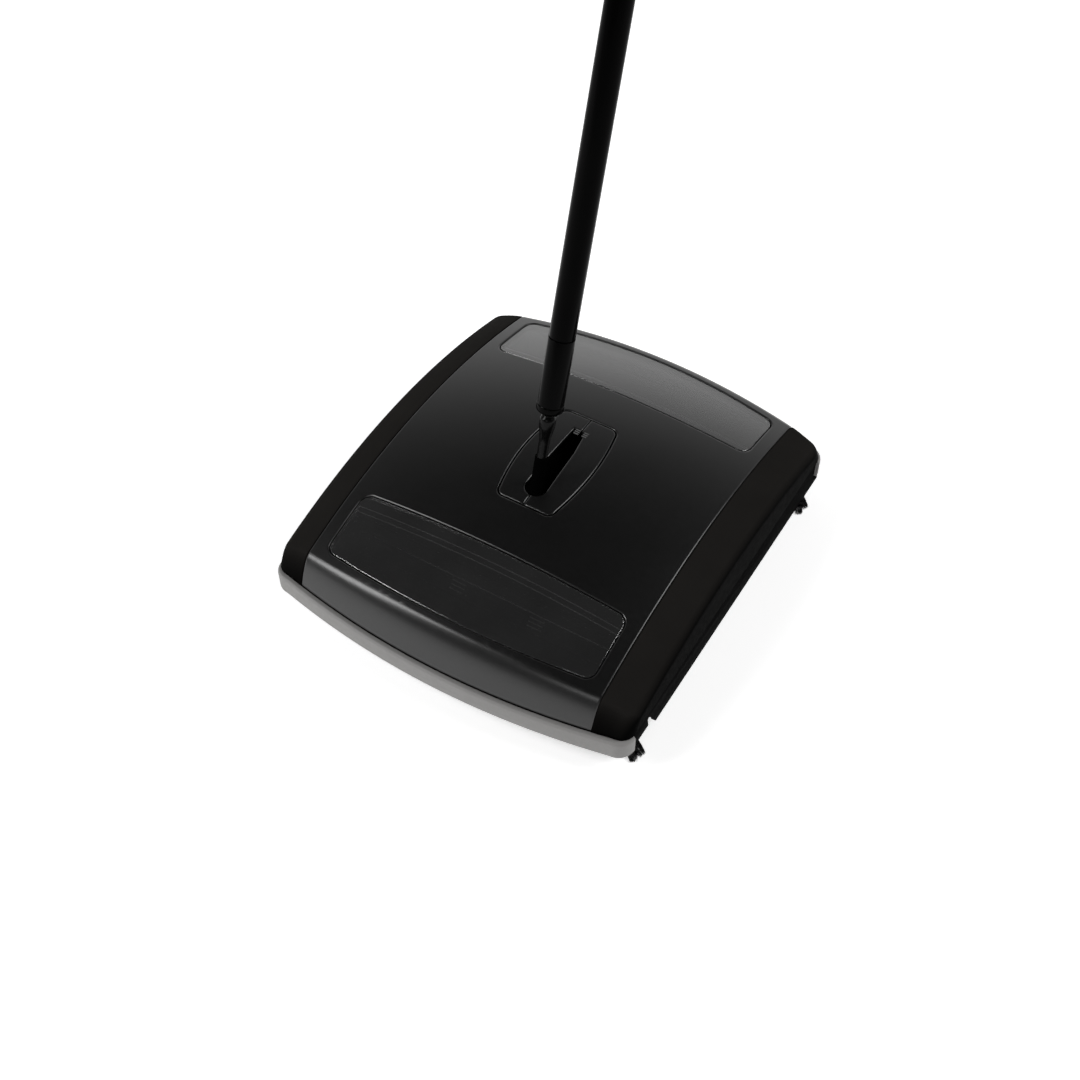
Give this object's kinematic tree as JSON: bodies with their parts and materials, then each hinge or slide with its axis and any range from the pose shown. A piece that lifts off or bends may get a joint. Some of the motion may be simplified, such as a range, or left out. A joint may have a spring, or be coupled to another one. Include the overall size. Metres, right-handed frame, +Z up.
{
  "type": "carpet sweeper",
  "caption": "Low push sweeper with crowned black cover, smoked dust windows, grey rubber bumpers, wheel-driven rubber rotors, drop-open dust pans and a long tilting handle.",
  "frame": {"origin": "on the floor, under the middle of the sweeper body", "axes": "+Z up, -Y the front, +X the right side; the handle leans towards +Y"},
  "size_m": [0.244, 0.4067, 1.0784],
  "materials": {
    "cover_plastic": "semi-gloss moulded",
    "cheek_plastic": "fine matt grain",
    "window_lens": "smoked clear",
    "bumper_rubber": "matt grey",
    "frame_plastic": "fine matt grain",
    "bridge_steel": "zinc plated",
    "rotor_rubber": "matt",
    "wheel_plastic": "satin",
    "tyre_rubber": "matt",
    "pan_plastic": "satin moulded",
    "bristle": "nylon bristle",
    "handle_tube": "gloss black coating",
    "handle_rod": "gloss black coating",
    "ferrule_plastic": "gloss",
    "grip_rubber": "matt foam"
  },
  "bodies": {
    "body": {"center_cover": "cover_plastic", "center_bridge": "handle_rod", "handle_pivot_pin": "bridge_steel", "left_cheek": "cheek_plastic", "right_cheek": "cheek_plastic", "left_side_frame": "frame_plastic", "right_side_frame": "frame_plastic", "left_pivot_plate": "cover_plastic", "right_pivot_plate": "cover_plastic", "front_window": "window_lens", "rear_window": "window_lens", "front_bumper": "bumper_rubber", "rear_bumper": "bumper_rubber", "front_end_rail": "frame_plastic", "rear_end_rail": "frame_plastic", "front_pan_pin": "bridge_steel", "rear_pan_pin": "bridge_steel", "front_pan_spring": "bridge_steel", "rear_pan_spring": "bridge_steel", "front_left_rotor_bush": "wheel_plastic", "front_right_rotor_bush": "wheel_plastic", "rear_left_rotor_bush": "wheel_plastic", "rear_right_rotor_bush": "wheel_plastic", "front_left_wheel_axle": "bridge_steel", "front_right_wheel_axle": "bridge_steel", "rear_left_wheel_axle": "bridge_steel", "rear_right_wheel_axle": "bridge_steel", "front_left_brush_holder": "frame_plastic", "front_right_brush_holder": "frame_plastic", "rear_left_brush_holder": "frame_plastic", "rear_right_brush_holder": "frame_plastic", "front_left_brush_tuft": "bristle", "front_right_brush_tuft": "bristle", "rear_left_brush_tuft": "bristle", "rear_right_brush_tuft": "bristle"},
    "front_rotor": {"front_rotor_shaft": "bridge_steel", "front_rotor_blades": "rotor_rubber", "front_left_drive_disc": "wheel_plastic", "front_right_drive_disc": "wheel_plastic"},
    "rear_rotor": {"rear_rotor_shaft": "bridge_steel", "rear_rotor_blades": "rotor_rubber", "rear_left_drive_disc": "wheel_plastic", "rear_right_drive_disc": "wheel_plastic"},
    "front_left_wheel": {"front_left_wheel_hub": "wheel_plastic", "front_left_tyre": "tyre_rubber"},
    "front_right_wheel": {"front_right_wheel_hub": "wheel_plastic", "front_right_tyre": "tyre_rubber"},
    "rear_left_wheel": {"rear_left_wheel_hub": "wheel_plastic", "rear_left_tyre": "tyre_rubber"},
    "rear_right_wheel": {"rear_right_wheel_hub": "wheel_plastic", "rear_right_tyre": "tyre_rubber"},
    "front_pan": {"front_dust_pan": "pan_plastic"},
    "rear_pan": {"rear_dust_pan": "pan_plastic"},
    "handle": {"handle_rod": "handle_rod", "handle_ferrule": "ferrule_plastic", "handle_tube_lower": "handle_tube", "handle_tube_middle": "handle_tube", "handle_tube_upper": "handle_tube", "hand_grip": "grip_rubber", "hang_cap": "ferrule_plastic"}
  },
  "joints": [
    {"name": "front_rotor_spin", "type": "hinge", "parent": "body", "child": "front_rotor", "pos_m": [0, -0.033, 0.026], "axis": [1, 0, 0], "continuous": true},
    {"name": "rear_rotor_spin", "type": "hinge", "parent": "body", "child": "rear_rotor", "pos_m": [0, 0.033, 0.026], "axis": [1, 0, 0], "continuous": true},
    {"name": "front_left_wheel_spin", "type": "hinge", "parent": "body", "child": "front_left_wheel", "pos_m": [-0.1065, -0.068, 0.0175], "axis": [1, 0, 0], "continuous": true},
    {"name": "front_right_wheel_spin", "type": "hinge", "parent": "body", "child": "front_right_wheel", "pos_m": [0.1065, -0.068, 0.0175], "axis": [1, 0, 0], "continuous": true},
    {"name": "rear_left_wheel_spin", "type": "hinge", "parent": "body", "child": "rear_left_wheel", "pos_m": [-0.1065, 0.068, 0.0175], "axis": [1, 0, 0], "continuous": true},
    {"name": "rear_right_wheel_spin", "type": "hinge", "parent": "body", "child": "rear_right_wheel", "pos_m": [0.1065, 0.068, 0.0175], "axis": [1, 0, 0], "continuous": true},
    {"name": "front_pan_open", "type": "hinge", "parent": "body", "child": "front_pan", "pos_m": [0, -0.114, 0.011], "axis": [-1, 0, 0], "range_deg": [0, 50], "stiffness_Nm_per_rad": 0.05, "springref_deg": -45.84},
    {"name": "rear_pan_open", "type": "hinge", "parent": "body", "child": "rear_pan", "pos_m": [0, 0.114, 0.011], "axis": [1, 0, 0], "range_deg": [0, 50], "stiffness_Nm_per_rad": 0.05, "springref_deg": -45.84},
    {"name": "handle_tilt", "type": "hinge", "parent": "body", "child": "handle", "pos_m": [0, -0.027, 0.062], "axis": [-1, 0, 0], "range_deg": [-15.8, 56]}
  ],
  "couplings": [
    {"joint": "front_left_wheel_spin", "follows": "front_rotor_spin", "ratio": -1.04},
    {"joint": "front_right_wheel_spin", "follows": "front_rotor_spin", "ratio": -1.04},
    {"joint": "rear_left_wheel_spin", "follows": "rear_rotor_spin", "ratio": -1.04},
    {"joint": "rear_right_wheel_spin", "follows": "rear_rotor_spin", "ratio": -1.04}
  ]
}
